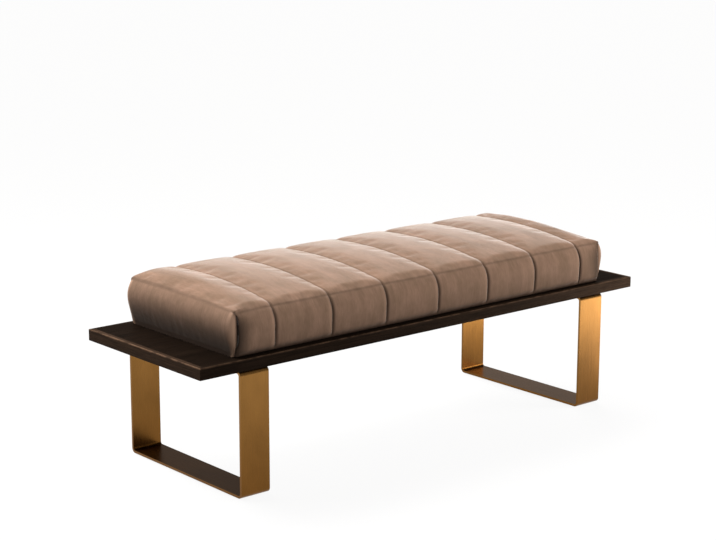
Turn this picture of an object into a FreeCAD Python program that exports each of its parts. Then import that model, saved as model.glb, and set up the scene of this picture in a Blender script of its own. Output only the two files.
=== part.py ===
import FreeCAD, Part
import math
import os

Vector = FreeCAD.Vector

# A long padded footstool: a channel-quilted seat screwed to a dark wooden platform on two sled
# legs of flat bar. Sizes are in millimetres. X runs along the platform, -Y is the front, +Z is
# up, and the origin is on the floor under the middle of the platform.

# Platform: a veneered panel with mitred solid lipping round its edge
platform_length = 1400.0
platform_depth = 450.0
platform_thickness = 28.0
lipping_width = 12.0
lipping_arris = 1.5

# Sled legs: each is one closed loop of flat bar, bent at its four corners
leg_height = 298.0
leg_end_inset = 110.0
leg_face_inset = 3.0
bar_width = 80.0
bar_thickness = 6.0
inside_bend_radius = 6.0

# Felt glides under each leg
glide_thickness = 3.0
glide_width = 50.0
glide_edge_gap = 10.0
glide_end_gap = 25.0

# Countersunk screws that hold each leg to the platform
leg_screw_diameter = 6.0
leg_screw_head = 12.0
leg_screw_bite = 16.0
leg_screw_edge_gap = 18.0
leg_screw_end_gap = 72.0

# Hexagon-head screws from under the platform into the seat board
seat_screw_diameter = 6.0
seat_screw_bite = 12.0
seat_screw_hexagon = 10.0
seat_screw_head_height = 4.0
seat_screw_leg_gap = 60.0
seat_screw_spread = 240.0
counterbore_diameter = 18.0
counterbore_depth = 8.0

# Seat: a board, a foam core with a soft bolster at each end, and a quilted cover
seat_end_setback = 105.0
seat_side_setback = 14.0
edge_seam_height = 103.0
crown_rise = 23.0
shoulder_fall = 7.0
shoulder_width = 61.0
channel_count = 6
left_end_channel_length = 115.0
right_end_channel_length = 79.0
channel_puff = 5.0
border_bulge = 3.0
foot_draw_in = 6.0
tuck_radius = 10.0
quilt_thickness = 12.0
cover_thickness = 2.0
turn_under_width = 40.0
end_roll_length = 46.0
end_seam_rise = 6.0
end_panel_dome = 4.0
board_thickness = 15.0

# Clearances
screw_clearance = 0.2
soft_clearance = 0.3

# Shares of a channel's length, and of the roll at a seat end, at which a section is drawn
channel_stations = (0.0, 0.1, 0.5, 0.9, 1.0)
end_roll_stations = (0.0, 0.5, 0.87, 1.0)

# Levels and half sizes worked out from the driving dimensions
platform_bottom = glide_thickness + leg_height
platform_top = platform_bottom + platform_thickness
board_bottom = platform_top + cover_thickness
board_top = board_bottom + board_thickness
edge_seam_level = platform_top + edge_seam_height
half_length = platform_length / 2
half_depth = platform_depth / 2
leg_half_depth = half_depth - leg_face_inset
leg_outer_face = half_length - leg_end_inset
leg_inner_face = leg_outer_face - bar_width
leg_top_underside = platform_bottom - bar_thickness
screw_head_depth = (leg_screw_head - leg_screw_diameter) / 2
seat_half_length = half_length - seat_end_setback
seam_half_depth = half_depth - seat_side_setback
foot_half_depth = seam_half_depth - foot_draw_in
shoulder_half_depth = seam_half_depth - shoulder_width
foam_half_depth = seam_half_depth - quilt_thickness
tip_half_depth = foot_half_depth - turn_under_width
cover_end = seat_half_length - cover_thickness - end_panel_dome
roll_start = cover_end - end_roll_length
board_half_length = cover_end - cover_thickness
first_seam = left_end_channel_length - seat_half_length
last_seam = seat_half_length - right_end_channel_length
channel_pitch = (last_seam - first_seam) / channel_count
end_rise_share = end_seam_rise / crown_rise
seat_screw_seat = platform_bottom + counterbore_depth


def line(start, end):
    """A straight edge between two points."""
    return Part.LineSegment(start, end).toShape()


def arc(start, middle, end):
    """A circular edge through three points."""
    return Part.Arc(start, middle, end).toShape()


def box(x_range, y_range, z_range):
    """A block between two limits on each axis."""
    size = [high - low for low, high in (x_range, y_range, z_range)]
    return Part.makeBox(*size, Vector(x_range[0], y_range[0], z_range[0]))


def rounded_box(x_range, y_range, z_range, radius):
    """A block whose four edges along X are rounded."""
    block = box(x_range, y_range, z_range)
    edges = [edge for edge in block.Edges if abs(edge.tangentAt(edge.FirstParameter).x) > 0.5]
    return block.makeFillet(radius, edges)


def bar(place, low, high, diameter):
    """A round bar on a vertical axis, used as a shank or as a drill."""
    return Part.makeCylinder(diameter / 2, high - low, Vector(*place, low))


def cone(place, low, high, low_diameter, high_diameter):
    """A vertical cone frustum, for a countersunk head and its seat."""
    return Part.makeCone(low_diameter / 2, high_diameter / 2, high - low, Vector(*place, low))


def leg_screw_places(side):
    """Where the four screws of one leg stand."""
    across = bar_width / 2 - leg_screw_edge_gap
    along = leg_half_depth - leg_screw_end_gap
    middle = side * (leg_inner_face + leg_outer_face) / 2
    return [(middle + x * across, y * along) for x in (-1, 1) for y in (-1, 1)]


def seat_screw_places():
    """Where the four seat screws stand, between the legs."""
    along = leg_inner_face - seat_screw_leg_gap
    return [(x * along, y * seat_screw_spread / 2) for x in (-1, 1) for y in (-1, 1)]


def platform_panel():
    """The veneered panel, with leg screw holes and counterbored seat screw holes from below."""
    panel = box(
        (lipping_width - half_length, half_length - lipping_width),
        (lipping_width - half_depth, half_depth - lipping_width),
        (platform_bottom, platform_top),
    )
    cutters = []
    for place in leg_screw_places(-1) + leg_screw_places(1):
        cutters.append(bar(place, platform_bottom, platform_bottom + leg_screw_bite, leg_screw_diameter))
    for place in seat_screw_places():
        cutters.append(bar(place, platform_bottom, seat_screw_seat, counterbore_diameter))
        cutters.append(bar(place, seat_screw_seat, platform_top, seat_screw_diameter + 2 * screw_clearance))
    return panel.cut(cutters)


def lipping(run_length, reach):
    """A mitred strip along the front, its outer face at -reach, with rounded arrises."""
    low = platform_bottom
    high = platform_top
    start = -run_length / 2
    diagonal = lipping_arris * (1 - math.sqrt(0.5))

    def at(depth, z):
        return Vector(start, depth - reach, z)

    profile = Part.Wire([
        line(at(lipping_width, low), at(lipping_arris, low)),
        arc(at(lipping_arris, low), at(diagonal, low + diagonal), at(0, low + lipping_arris)),
        line(at(0, low + lipping_arris), at(0, high - lipping_arris)),
        arc(at(0, high - lipping_arris), at(diagonal, high - diagonal), at(lipping_arris, high)),
        line(at(lipping_arris, high), at(lipping_width, high)),
        line(at(lipping_width, high), at(lipping_width, low)),
    ])
    plan = Part.makePolygon([
        Vector(start, -reach, low),
        Vector(-start, -reach, low),
        Vector(-start - lipping_width, lipping_width - reach, low),
        Vector(start + lipping_width, lipping_width - reach, low),
        Vector(start, -reach, low),
    ])
    strip = Part.Face(profile).extrude(Vector(run_length, 0, 0))
    return strip.common(Part.Face(plan).extrude(Vector(0, 0, high - low)))


def platform_parts():
    """The panel and the four strips round its edge."""
    parts = {"platform_panel": platform_panel()}
    strips = {
        "front_lipping": (platform_length, half_depth, 0),
        "right_lipping": (platform_depth, half_length, 90),
        "rear_lipping": (platform_length, half_depth, 180),
        "left_lipping": (platform_depth, half_length, 270),
    }
    for name, (run_length, reach, angle) in strips.items():
        strip = lipping(run_length, reach)
        strip.rotate(Vector(0, 0, 0), Vector(0, 0, 1), angle)
        parts[name] = strip
    return parts


def leg_x_range(side, gap):
    """The bar's two faces along X on one side, drawn in by a gap."""
    return sorted((side * (leg_inner_face + gap), side * (leg_outer_face - gap)))


def leg_frame(side):
    """A closed loop of flat bar with countersunk holes in its top run."""
    x_range = leg_x_range(side, 0)
    outer = rounded_box(
        x_range,
        (-leg_half_depth, leg_half_depth),
        (glide_thickness, platform_bottom),
        inside_bend_radius + bar_thickness,
    )
    inner = rounded_box(
        x_range,
        (bar_thickness - leg_half_depth, leg_half_depth - bar_thickness),
        (glide_thickness + bar_thickness, leg_top_underside),
        inside_bend_radius,
    )
    hole = leg_screw_diameter + 2 * screw_clearance
    head = leg_screw_head + 2 * screw_clearance
    cutters = [inner]
    for place in leg_screw_places(side):
        cutters.append(bar(place, leg_top_underside, platform_bottom, hole))
        cutters.append(cone(place, leg_top_underside, leg_top_underside + screw_head_depth, head, hole))
    return outer.cut(cutters)


def leg_screws(side):
    """Countersunk screws, heads flush with the underside of the leg's top run."""
    neck = leg_top_underside + screw_head_depth
    screws = []
    for place in leg_screw_places(side):
        head = cone(place, leg_top_underside, neck, leg_screw_head, leg_screw_diameter)
        shank = bar(place, neck, platform_bottom + leg_screw_bite, leg_screw_diameter)
        screws.append(head.fuse(shank))
    return Part.makeCompound(screws)


def leg_glides(side):
    """A felt pad under each end of the leg's floor run."""
    outer = leg_half_depth - glide_end_gap
    pads = []
    for end in (-1, 1):
        y_range = sorted((end * (outer - glide_width), end * outer))
        x_range = leg_x_range(side, glide_edge_gap)
        pads.append(box(x_range, y_range, (0, glide_thickness)))
    return Part.makeCompound(pads)


def leg_parts():
    """Both legs with their screws and glides."""
    parts = {}
    for name, side in (("left", -1), ("right", 1)):
        parts[f"{name}_leg_frame"] = leg_frame(side)
        parts[f"{name}_leg_screws"] = leg_screws(side)
        parts[f"{name}_leg_glides"] = leg_glides(side)
    return parts


def seat_board():
    """The board under the foam, drilled from below for its screws."""
    board = box(
        (-board_half_length, board_half_length),
        (-foam_half_depth, foam_half_depth),
        (board_bottom, board_top),
    )
    top = board_bottom + seat_screw_bite
    return board.cut([bar(place, board_bottom, top, seat_screw_diameter) for place in seat_screw_places()])


def seat_screws():
    """Hexagon-head screws, heads inside the counterbores."""
    corner_radius = seat_screw_hexagon / math.sqrt(3)
    screws = []
    for place in seat_screw_places():
        corners = []
        for corner in range(7):
            angle = math.radians(60 * corner)
            offset = Vector(corner_radius * math.cos(angle), corner_radius * math.sin(angle), 0)
            corners.append(Vector(*place, seat_screw_seat) + offset)
        head = Part.Face(Part.makePolygon(corners)).extrude(Vector(0, 0, -seat_screw_head_height))
        shank = bar(place, seat_screw_seat, board_bottom + seat_screw_bite, seat_screw_diameter)
        screws.append(head.fuse(shank))
    return Part.makeCompound(screws)


def mirrored(point):
    """The same point on the other side of the seat's long centre plane."""
    return Vector(point.x, -point.y, point.z)


def tangent_middle(start, slope, end):
    """The middle of the arc in a YZ plane that leaves start at a slope angle and reaches end."""
    chord = end - start
    turn = math.atan2(chord.z, chord.y) - slope
    rise = chord.Length / 2 * math.tan(turn / 2)
    across = Vector(0, chord.z, -chord.y).normalize()
    return (start + end) / 2 + across * rise


def cover_outside(x, puff, rise_share):
    """The cover's outside in the plane at x, from its rear turned-under tip to its front one.

    puff is how far the section swells past its seams, and rise_share how much of the crown it has.
    """
    tip = Vector(x, tip_half_depth, platform_top)
    foot = Vector(x, foot_half_depth + puff, platform_top + tuck_radius)
    tuck = Vector(x, foot.y - tuck_radius, platform_top)
    diagonal = tuck_radius * math.sqrt(0.5)
    tuck_middle = Vector(x, tuck.y + diagonal, foot.z - diagonal)
    seam = Vector(x, seam_half_depth + puff, edge_seam_level + puff)
    border_middle = (foot + seam) / 2 + Vector(0, border_bulge, 0)
    crown = Vector(x, 0, seam.z + rise_share * crown_rise)
    fall = rise_share * shoulder_fall
    shoulder = Vector(x, shoulder_half_depth, crown.z - fall)
    slope = -2 * math.atan2(fall, shoulder.y)
    shoulder_middle = tangent_middle(shoulder, slope, seam)
    return [
        line(tip, tuck),
        arc(tuck, tuck_middle, foot),
        arc(foot, border_middle, seam),
        arc(seam, shoulder_middle, shoulder),
        arc(shoulder, crown, mirrored(shoulder)),
        arc(mirrored(shoulder), mirrored(shoulder_middle), mirrored(seam)),
        arc(mirrored(seam), mirrored(border_middle), mirrored(foot)),
        arc(mirrored(foot), mirrored(tuck_middle), mirrored(tuck)),
        line(mirrored(tuck), mirrored(tip)),
    ]


def foam_top(x, clearance, rise_share):
    """The rear edge and bevelled shoulder of the foam in the plane at x, grown by a clearance."""
    edge = Vector(x, foam_half_depth + clearance, edge_seam_level - quilt_thickness + clearance)
    shoulder = Vector(x, shoulder_half_depth, edge.z + rise_share * (crown_rise - shoulder_fall))
    return edge, shoulder


def quilt_section(x, puff, rise_share):
    """The quilted cover's closed section: its outside, its tips and the outline of the foam."""
    tip_bottom = Vector(x, tip_half_depth, platform_top)
    tip_top = Vector(x, tip_half_depth, board_bottom)
    edge, shoulder = foam_top(x, soft_clearance, rise_share)
    low = Vector(x, edge.y, board_bottom)
    inside = [
        line(mirrored(tip_bottom), mirrored(tip_top)),
        line(mirrored(tip_top), mirrored(low)),
        line(mirrored(low), mirrored(edge)),
        line(mirrored(edge), mirrored(shoulder)),
        line(mirrored(shoulder), shoulder),
        line(shoulder, edge),
        line(edge, low),
        line(low, tip_top),
        line(tip_top, tip_bottom),
    ]
    return Part.Wire(cover_outside(x, puff, rise_share) + inside)


def foam_section(x, rise_share):
    """The closed section of the foam on the board."""
    edge, shoulder = foam_top(x, 0, rise_share)
    low = Vector(x, edge.y, board_top)
    return Part.Wire([
        line(mirrored(low), low),
        line(low, edge),
        line(edge, shoulder),
        line(shoulder, mirrored(shoulder)),
        line(mirrored(shoulder), mirrored(edge)),
        line(mirrored(edge), mirrored(low)),
    ])


def swell(share):
    """The elliptical swelling of a channel, from 0 at its seams to 1 in its middle."""
    return math.sqrt(max(0.0, 1 - (2 * share - 1) ** 2))


def quilted_channel(index):
    """One channel between two seams."""
    start = first_seam + index * channel_pitch
    sections = []
    for share in channel_stations:
        sections.append(quilt_section(start + share * channel_pitch, swell(share) * channel_puff, 1.0))
    return Part.makeLoft(sections, True, True)


def roll_stations(side):
    """Places over a seat end, where the puff and the crown's rise fall on an ellipse."""
    stations = []
    for share in end_roll_stations:
        fall = math.sqrt(max(0.0, 1 - share ** 2))
        x = side * (roll_start + share * end_roll_length)
        stations.append((x, fall * channel_puff, end_rise_share + (1 - end_rise_share) * fall))
    return stations


def end_channel(side):
    """The last channel: it swells from its seam, then rolls down to the end panel."""
    seam = last_seam if side > 0 else first_seam
    sections = []
    for share in channel_stations:
        if share < 0.5:
            x = seam + 2 * share * (side * roll_start - seam)
            sections.append(quilt_section(x, swell(share) * channel_puff, 1.0))
    for x, puff, rise_share in roll_stations(side):
        sections.append(quilt_section(x, puff, rise_share))
    return Part.makeLoft(sections, True, True)


def end_bolster(side):
    """The soft end of the seat, which fills the roll of the cover."""
    sections = [foam_section(x, rise_share) for x, puff, rise_share in roll_stations(side)]
    return Part.makeLoft(sections, True, True)


def end_panel(side):
    """The plain panel that closes an end, slightly domed, with its lower edge turned under."""
    outline = cover_outside(cover_end, 0, end_rise_share)
    closing = line(outline[-1].lastVertex().Point, outline[0].firstVertex().Point)
    reach = cover_thickness + end_panel_dome
    blank = Part.Face(Part.Wire(outline + [closing])).extrude(Vector(reach, 0, 0))
    radius = (seam_half_depth ** 2 + end_panel_dome ** 2) / (2 * end_panel_dome)
    axis = Vector(seat_half_length - radius, 0, platform_top)
    dome = Part.makeCylinder(radius, edge_seam_height + crown_rise, axis)
    hem = box(
        (cover_end - turn_under_width, cover_end),
        (soft_clearance - tip_half_depth, tip_half_depth - soft_clearance),
        (platform_top, board_bottom),
    )
    panel = blank.common(dome).fuse(hem)
    if side < 0:
        panel.rotate(Vector(0, 0, 0), Vector(0, 0, 1), 180)
    return panel


def foam_core():
    """The foam block between the two end bolsters, bevelled along its long edges."""
    return Part.Face(foam_section(-roll_start, 1.0)).extrude(Vector(2 * roll_start, 0, 0))


def seat_parts():
    """Every piece of the padded seat."""
    parts = {
        "seat_board": seat_board(),
        "seat_screws": seat_screws(),
        "foam_core": foam_core(),
    }
    for name, side in (("left", -1), ("right", 1)):
        parts[f"{name}_end_bolster"] = end_bolster(side)
        parts[f"{name}_end_channel"] = end_channel(side)
        parts[f"{name}_end_panel"] = end_panel(side)
    for index in range(channel_count):
        parts[f"channel_{index + 1}"] = quilted_channel(index)
    return parts


os.makedirs("parts", exist_ok=True)
for node, shape in {**platform_parts(), **leg_parts(), **seat_parts()}.items():
    shape.exportStep(f"parts/{node}.step")
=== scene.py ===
"""A padded footstool: a channel-quilted seat on a dark wooden platform with two brass sled legs.

The rigid pieces keep their solid shapes and get wood, brass, felt and steel finishes. The seat's
cover is worked out as a surface, filled by a cloth simulation, and finished as napped fabric.
Lengths are in metres, X runs along the platform, -Y is the front and +Z is up.
"""

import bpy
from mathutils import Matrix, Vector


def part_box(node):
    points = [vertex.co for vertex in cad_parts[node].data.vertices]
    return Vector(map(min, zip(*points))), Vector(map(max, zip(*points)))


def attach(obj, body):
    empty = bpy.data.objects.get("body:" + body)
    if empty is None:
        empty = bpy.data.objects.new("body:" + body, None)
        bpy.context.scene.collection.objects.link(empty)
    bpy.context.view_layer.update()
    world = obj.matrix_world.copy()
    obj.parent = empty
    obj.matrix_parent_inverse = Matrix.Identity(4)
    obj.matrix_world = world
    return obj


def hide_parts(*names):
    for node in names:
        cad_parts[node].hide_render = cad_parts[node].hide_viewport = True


bl_info = {
    "name": "Padded footstool",
    "version": (1, 0, 0),
    "blender": (4, 5, 0),
    "location": "View3D > Sidebar > Footstool",
    "description": "Dresses a quilted footstool: its cover, its finishes and its studio stage",
    "category": "Object",
}

import math
from functools import partial

import bpy
import numpy as np
from bpy.props import FloatProperty, FloatVectorProperty, IntProperty, PointerProperty
from mathutils import Matrix, Vector

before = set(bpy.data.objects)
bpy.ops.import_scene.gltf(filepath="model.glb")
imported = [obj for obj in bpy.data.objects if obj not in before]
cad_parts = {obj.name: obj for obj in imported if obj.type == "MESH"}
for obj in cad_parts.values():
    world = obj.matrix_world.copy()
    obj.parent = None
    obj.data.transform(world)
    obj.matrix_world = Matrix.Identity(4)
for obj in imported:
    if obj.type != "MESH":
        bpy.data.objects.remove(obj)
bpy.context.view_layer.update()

CHANNELS = [f"channel_{number}" for number in range(1, 7)]
END_CHANNELS = ["left_end_channel", "right_end_channel"]
END_PANELS = ["left_end_panel", "right_end_panel"]
STUFFING = ["foam_core", "left_end_bolster", "right_end_bolster"]
LONG_EDGES = ["front_lipping", "rear_lipping"]
CROSS_EDGES = ["left_lipping", "right_lipping"]
LEGS = ["left_leg_frame", "right_leg_frame"]
GLIDES = ["left_leg_glides", "right_leg_glides"]
SCREWS = ["left_leg_screws", "right_leg_screws", "seat_screws"]

# How deep the painted shade goes in each seam, in the edge creases and corner folds, at the foot and low
# on the sides
PAINTED_SHADE_DEPTH = {
    "top": 0.25,
    "border": 0.9,
    "edge": 0.35,
    "end": 0.3,
    "foot": 0.9,
    "low": 0.4,
    "end_low": 0.95,
}
# Share by which the painted shade of a seam is wider on the border than on the top
BORDER_SEAM_GAIN = 0.6
# Share of the foot's painted shade that is lifted off a lobe to paint its lit strip, and strength of the
# painted highlights beside the border's seams
LOBE_HIGHLIGHT = 0.6
BORDER_RIDGE_HIGHLIGHT = 0.3
# Share of a corner seam's pull that is left at its foot
FOOT_GRIP = 0.35
# Powers of the superellipses: a plain ellipse, and the flatter fall to an end seam
ELLIPSE = 2.0
END_FALL = 1.6
# How strongly grid cells crowd towards the seams, from 0 to 1
CROWDING = {"side": 0.45, "top": 0.7, "span": 0.6}
# Steps along each of the four curves of an outline
OUTLINE_STEPS = 40
# A point closer than this to a seam lies on it
TOUCH = 1e-6
# Material numbers of the cover's faces
NAPPED, PRESSED_AND_SHADED, END_NAP = 0, 1, 2
LAST_FRAME = 20


def platform_size():
    """The platform's lowest and highest corners, from the boxes of its lippings."""
    low = np.min([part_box(name)[0] for name in LONG_EDGES + CROSS_EDGES], axis=0)
    high = np.max([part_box(name)[1] for name in LONG_EDGES + CROSS_EDGES], axis=0)
    return low, high


PLATFORM_LOW, PLATFORM_HIGH = platform_size()


def number_property(name, default, description, **kind):
    """A number, with a unit or a subtype where one fits."""
    return FloatProperty(name=name, description=description, default=default, **kind)


def colour_property(name, default, description):
    """A colour in linear values."""
    return FloatVectorProperty(name=name, description=description, default=default, subtype="COLOR")


length_property = partial(number_property, unit="LENGTH")
power_property = partial(number_property, unit="POWER")
share_property = partial(number_property, subtype="FACTOR")
angle_property = partial(number_property, subtype="ANGLE")


class SeatSizes(bpy.types.PropertyGroup):
    """Sizes of the quilted cover."""

    side_setback: length_property(
        "Side setback", 0.018, "From the platform's long edge to the channel seams on the border"
    )
    end_setback: length_property("End setback", 0.108, "From the platform's end to the cover's end seam")
    shoulder_start: length_property(
        "Shoulder start", 0.057, "From the platform up to where the border begins to round over"
    )
    shoulder_depth: length_property(
        "Shoulder depth", 0.032, "From the border back to where the shoulder meets the top"
    )
    shoulder_height: length_property(
        "Shoulder height",
        0.056,
        "From the start of the shoulder up to the top, half-way between front and rear",
    )
    front_sag: length_property(
        "Front sag", 0.01, "How much lower the front is than the middle, and the middle than the rear"
    )
    crown_rise: length_property("Crown rise", 0.016, "How far the top bows up between its shoulders")
    end_shoulder_depth: length_property(
        "End shoulder depth", 0.003, "Depth of the shoulder at the end seams"
    )
    end_shoulder_height: length_property(
        "End shoulder height", 0.0495, "Height of the shoulder at the end seams"
    )
    end_crown_rise: length_property(
        "End crown rise", 0.004, "How far an end seam bows up between its corners"
    )
    end_sag: length_property(
        "End sag", 0.002, "How much lower an end seam's front is than its middle, and that than its rear"
    )
    edge_seam_angle: angle_property(
        "Edge seam angle", math.radians(55), "How far round the shoulder the edge seam lies"
    )
    channel_swell: length_property("Channel swell", 0.0008, "How far the middle of a channel bows out")
    rounding_reach: length_property(
        "Rounding reach", 0.022, "Distance from a seam over which a channel's edge is rounded"
    )
    top_rounding: length_property(
        "Top rounding", 0.0025, "Depth of the rounded channel edges on the top"
    )
    border_rounding: length_property(
        "Border rounding", 0.008, "Depth of the rounded channel edges on the upright border"
    )
    crease_width: length_property(
        "Crease width", 0.0035, "Distance over which the crease along an edge seam fades"
    )
    crease_depth: length_property("Crease depth", 0.0008, "Depth of the crease along the edge seams")
    foot_draw_in: length_property(
        "Foot draw-in", 0.003, "How far the border's foot is pulled in from the edge seam"
    )
    tuck_radius: length_property("Tuck radius", 0.004, "Rounding where the cover turns under the seat")
    end_roll: share_property(
        "End roll", 0.55, "Share of an end channel over which the top rolls down to the end seam"
    )
    panel_dome: length_property(
        "Panel dome", 0.0155, "How far an end panel stands out from its seam where it is fullest"
    )
    dome_lean: number_property(
        "Dome lean", 1.6, "Power of the height that moves an end panel's fullest place above its middle"
    )
    panel_rounding: length_property(
        "Panel rounding",
        0.008,
        "Distance from an end seam over which the rounding of the top's channels grows",
    )
    # Below these heights the faces get the cover without sheen, which paints the shade at the foot
    tuck_height: length_property(
        "Tuck height", 0.008, "Height up to which the cover is pressed flat and has no nap"
    )
    panel_tuck: length_property(
        "Panel tuck", 0.013, "Height up to which an end panel is pressed flat and has no nap"
    )
    stitch_width: length_property(
        "Stitch width",
        0.003,
        "Distance from a channel seam over which the stitching presses the nap flat",
    )
    # The fabric's darkening near a seam is painted shade
    seam_width: length_property(
        "Seam width", 0.0028, "Distance from a seam over which the fabric is darker"
    )
    foot_rise: length_property(
        "Foot rise", 0.016, "Height over which the swelling of the channels grows from the foot"
    )
    # Painted shade: the cover is painted darker at its foot, where it meets the platform
    foot_shade: length_property("Foot shade", 0.016, "Height over which the foot of the cover is darker")
    # Painted highlight: the ridges beside the border seams and the lobes are painted lighter
    ridge_place: length_property(
        "Ridge place",
        0.008,
        "From a border seam to the ridge beside it, where the nap is rubbed lighter",
    )
    ridge_width: length_property(
        "Ridge width", 0.005, "Distance over which the rubbed nap of a ridge fades"
    )
    corner_pinch: length_property(
        "Corner pinch", 0.014, "How far a corner seam is pulled in where it is tightest"
    )
    pinch_lean: number_property(
        "Pinch lean", 0.45, "Share of a corner seam's pull that also goes in from the border"
    )
    pinch_reach: length_property(
        "Pinch reach", 0.004, "Distance over which the pull of a corner seam fades on the border"
    )
    panel_pinch: length_property(
        "Panel pinch", 0.002, "Distance over which the pull of a corner seam fades on an end panel"
    )
    pinch_top: length_property(
        "Pinch top", 0.11, "Height above the platform at which a corner seam is no longer pulled in"
    )
    # Painted shade: the border is painted darker into the corner folds
    fold_shade: length_property(
        "Fold shade", 0.038, "Distance over which the border darkens into a corner fold"
    )
    fold_fade: length_property(
        "Fold fade", 0.045, "Height over which the darkening into a corner fold fades at its top"
    )
    pinch_foot: length_property(
        "Pinch foot",
        0.016,
        "Height up to which a corner seam is pulled in less; the pull is full at twice that",
    )
    pinch_fade: length_property(
        "Pinch fade", 0.025, "Height over which the pull of a corner seam fades at its top"
    )
    lobe_swell: length_property(
        "Lobe swell",
        0.002,
        "How far the rounded edges of an end panel stand out beyond its corner seams",
    )
    lobe_reach: length_property(
        "Lobe reach", 0.014, "Distance from a corner seam over which an end panel rounds over"
    )
    lobe_wall: length_property(
        "Lobe wall",
        0.003,
        "Distance over which the rounded edge of an end panel drops into its corner seam",
    )
    rear_lobe: share_property("Rear lobe", 1.0, "Size of the rear lobes, as a share of the front ones")
    # Painted shade: the border is painted a little darker low down
    low_shade: length_property(
        "Low shade", 0.055, "Height over which the border is a little darker towards its foot"
    )
    corner_reach: length_property(
        "Corner reach", 0.034, "Distance from a corner seam over which the border is rounded"
    )
    base_gap: length_property("Base gap", 0.0005, "From the platform up to the cover's base")
    spare_cloth: number_property(
        "Spare cloth", 0.003, "Share by which the cloth is longer than the shape that it covers"
    )
    foam_grip: number_property(
        "Foam grip", 0.07, "How firmly the foam holds the cloth away from the seams"
    )
    panel_grip: number_property(
        "Panel grip", 0.3, "How firmly the foam holds the cloth of the end panels"
    )
    air_pressure: number_property("Air pressure", 0.5, "Pressure that fills the cover in the simulation")
    cloth_bending: number_property(
        "Cloth bending", 3.0, "Bending stiffness of the cloth in the simulation"
    )
    cloth_limit: length_property(
        "Cloth limit", 0.004, "The furthest that a point of the cloth may move in the simulation"
    )
    span_cells: IntProperty(
        name="Cells along a channel",
        description="Grid cells from one channel seam to the next",
        default=26,
    )
    top_cells: IntProperty(
        name="Cells over the top",
        description="Grid cells from the front edge seam to the rear one",
        default=84,
    )
    side_cells: IntProperty(
        name="Cells up a border",
        description="Grid cells from the platform to an edge seam",
        default=26,
    )


class FinishColours(bpy.types.PropertyGroup):
    """Colours of the finishes, as linear values."""

    cover: colour_property("Cover", (0.252, 0.160, 0.111), "Napped seat fabric")
    wood: colour_property("Wood", (0.0172, 0.0102, 0.0064), "Dark stained platform")
    brass: colour_property("Brass", (0.305, 0.150, 0.040), "Satin leg metal")
    felt: colour_property("Felt", (0.045, 0.038, 0.034), "Glides under the legs")
    steel: colour_property("Steel", (0.50, 0.49, 0.47), "Screws")
    plywood: colour_property("Plywood", (0.52, 0.36, 0.20), "Board inside the seat")


class StageSizes(bpy.types.PropertyGroup):
    """The camera's place and the studio light."""

    azimuth: angle_property(
        "Azimuth",
        math.radians(-40.332),
        "The camera's turn about the vertical; 0 looks straight at the front",
    )
    elevation: angle_property("Elevation", math.radians(12.698), "The camera's height above the horizon")
    roll: angle_property("Roll", math.radians(0.101), "The camera's turn about its own axis")
    distance: length_property("Distance", 4.4455, "From the camera to the point it looks at")
    target: FloatVectorProperty(
        name="Target",
        description="The point that the camera looks at",
        subtype="TRANSLATION",
        default=(-0.0602, 0.0, 0.4176),
    )
    lens: number_property("Lens", 90.38, "Focal length in millimetres on a 36 mm sensor")
    sky_strength: number_property(
        "Sky strength", 4.1, "Strength of the broad soft light from behind and above"
    )
    side_power: power_property("Side power", 58.0, "Power of the low soft lamp at the right front")
    left_power: power_property("Left power", 82.0, "Power of the soft lamp high at the left rear")
    front_power: power_property("Front power", 30.0, "Power of the wide soft lamp in front")
    card_power: power_property("Card power", 4.4, "Brightness of the cards that the right leg mirrors")
    fill_light: number_property("Fill light", 0.2, "Strength of the plain light from all round")
    backdrop_share: share_property(
        "Backdrop share", 0.45, "Share of plain white in the floor, as the camera and reflections see it"
    )


def add_node(tree, kind, inputs=None, **settings):
    """A new node; inputs maps a socket's name or number to a value or to another node's output."""
    node = tree.nodes.new(kind)
    for name, value in settings.items():
        setattr(node, name, value)
    for name, value in (inputs or {}).items():
        if isinstance(value, bpy.types.NodeSocket):
            tree.links.new(value, node.inputs[name])
        else:
            node.inputs[name].default_value = value
    return node


def add_math(tree, operation, first, second=0.0, third=0.0):
    """The output of a Math node."""
    node = add_node(tree, "ShaderNodeMath", {0: first, 1: second, 2: third}, operation=operation)
    return node.outputs[0]


def add_range(tree, value, low, high, new_low=0.0, new_high=1.0):
    """The output of a Map Range node, held between its new limits."""
    inputs = {"Value": value, "From Min": low, "From Max": high, "To Min": new_low, "To Max": new_high}
    return add_node(tree, "ShaderNodeMapRange", inputs).outputs["Result"]


def add_mix(tree, factor, first, second, blend="MIX"):
    """The colour output of a Mix node."""
    inputs = {0: factor, 6: first, 7: second}
    node = add_node(tree, "ShaderNodeMix", inputs, data_type="RGBA", blend_type=blend)
    return node.outputs[2]


def colour(values, brightness=1.0):
    """A colour with an alpha of 1, made lighter or darker."""
    return tuple(brightness * value for value in values[:3]) + (1.0,)


def add_tint(tree, base, mask, low, high):
    """A colour multiplied by a tint that runs from low to high with a mask."""
    return add_mix(tree, 1.0, base, add_mix(tree, mask, colour(low), colour(high)), "MULTIPLY")


def new_group(name, inputs, outputs):
    """A shader node group with named sockets, and its input and output nodes."""
    tree = bpy.data.node_groups.new(name, "ShaderNodeTree")
    for label, kind, default in inputs:
        socket = tree.interface.new_socket(label, in_out="INPUT", socket_type=kind)
        socket.default_value = default
    for label, kind in outputs:
        tree.interface.new_socket(label, in_out="OUTPUT", socket_type=kind)
    return tree, tree.nodes.new("NodeGroupInput"), tree.nodes.new("NodeGroupOutput")


def use_group(tree, group, inputs):
    """The mask of a shader group that is placed in a material with its own values."""
    return add_node(tree, "ShaderNodeGroup", inputs, node_tree=group).outputs["Mask"]


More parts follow.
